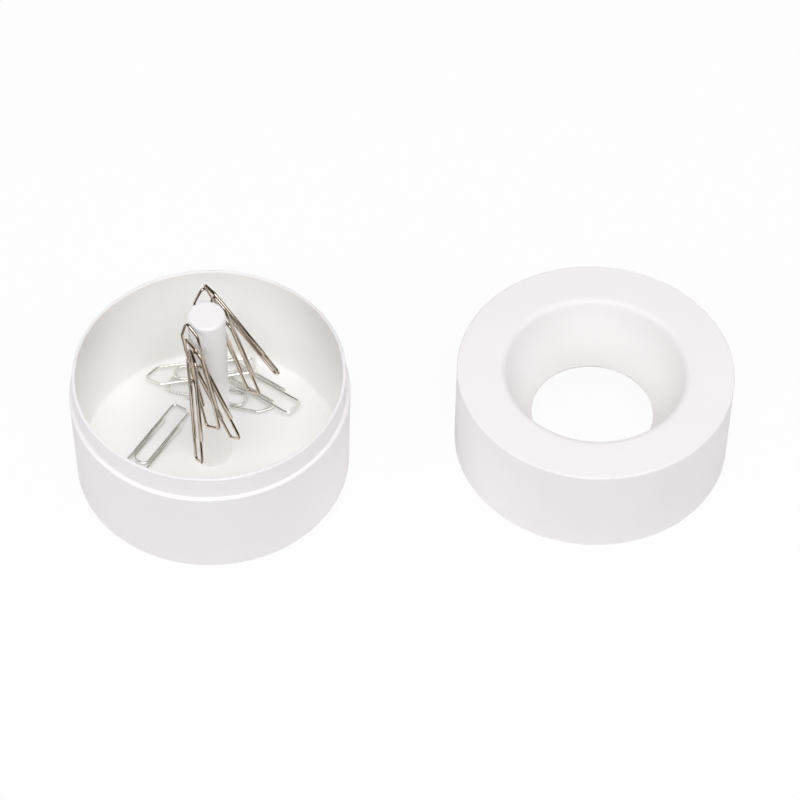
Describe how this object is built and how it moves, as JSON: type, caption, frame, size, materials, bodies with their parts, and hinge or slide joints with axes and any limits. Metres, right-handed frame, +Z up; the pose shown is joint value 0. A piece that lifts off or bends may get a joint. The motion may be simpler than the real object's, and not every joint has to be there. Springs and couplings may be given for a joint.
{
  "type": "magnetic paper clip holder",
  "caption": "Round white cup with a magnetic centre post that holds wire paper clips, beside its lift-off lid with a funnel opening.",
  "frame": {"origin": "on the table under the middle of the cup", "axes": "+X from the cup towards the lid that stands beside it, +Z up along the post"},
  "size_m": [0.1917, 0.0806, 0.0645],
  "materials": {
    "white_plastic": "fine satin moulding, white",
    "core_plastic": "plain moulding, grey",
    "pad_rubber": "fine foam, matt",
    "magnet_plating": "nickel plated",
    "screw_steel": "zinc plated",
    "clip_wire": "drawn wire, bright nickel plated"
  },
  "bodies": {
    "cup": {"cup_shell": "white_plastic", "foot_pad": "pad_rubber", "post_sleeve": "white_plastic", "post_core": "core_plastic", "magnet_top": "magnet_plating", "magnet_middle": "magnet_plating", "magnet_bottom": "magnet_plating", "post_screw": "screw_steel", "screw_washer": "screw_steel"},
    "lid": {"lid_shell": "white_plastic"},
    "hung_clip_left_inner": {"hung_clip_left_inner": "clip_wire"},
    "hung_clip_left_middle": {"hung_clip_left_middle": "clip_wire"},
    "hung_clip_left_outer": {"hung_clip_left_outer": "clip_wire"},
    "hung_clip_right_inner": {"hung_clip_right_inner": "clip_wire"},
    "hung_clip_right_outer": {"hung_clip_right_outer": "clip_wire"},
    "hung_clip_back": {"hung_clip_back": "clip_wire"},
    "loose_clip_left": {"loose_clip_left": "clip_wire"},
    "loose_clip_middle": {"loose_clip_middle": "clip_wire"},
    "loose_clip_right": {"loose_clip_right": "clip_wire"},
    "loose_clip_back": {"loose_clip_back": "clip_wire"}
  },
  "joints": [
    {"name": "lid_lift", "type": "slide", "parent": "cup", "child": "lid", "axis": [0, 0, 1], "range_m": [0, 0.08]},
    {"name": "hung_clip_left_inner_pull", "type": "slide", "parent": "cup", "child": "hung_clip_left_inner", "axis": [-0.3988, -0.3016, 0.866], "range_m": [0, 0.03]},
    {"name": "hung_clip_left_middle_pull", "type": "slide", "parent": "hung_clip_left_inner", "child": "hung_clip_left_middle", "axis": [-0.3727, -0.3333, 0.866], "range_m": [0, 0.03]},
    {"name": "hung_clip_left_outer_pull", "type": "slide", "parent": "hung_clip_left_middle", "child": "hung_clip_left_outer", "axis": [-0.433, -0.25, 0.866], "range_m": [0, 0.03]},
    {"name": "hung_clip_right_inner_pull", "type": "slide", "parent": "cup", "child": "hung_clip_right_inner", "axis": [0.4951, 0.0696, 0.866], "range_m": [0, 0.03]},
    {"name": "hung_clip_right_outer_pull", "type": "slide", "parent": "hung_clip_right_inner", "child": "hung_clip_right_outer", "axis": [0.4924, 0.0868, 0.866], "range_m": [0, 0.03]},
    {"name": "hung_clip_back_pull", "type": "slide", "parent": "cup", "child": "hung_clip_back", "axis": [-0.1342, 0.3146, 0.9397], "range_m": [0, 0.03]},
    {"name": "loose_clip_left_lift", "type": "slide", "parent": "cup", "child": "loose_clip_left", "axis": [0, 0, 1], "range_m": [0, 0.04]},
    {"name": "loose_clip_middle_lift", "type": "slide", "parent": "cup", "child": "loose_clip_middle", "axis": [0, 0, 1], "range_m": [0, 0.04]},
    {"name": "loose_clip_right_lift", "type": "slide", "parent": "loose_clip_middle", "child": "loose_clip_right", "axis": [0, 0, 1], "range_m": [0, 0.04]},
    {"name": "loose_clip_back_lift", "type": "slide", "parent": "loose_clip_right", "child": "loose_clip_back", "axis": [0, 0, 1], "range_m": [0, 0.04]}
  ]
}
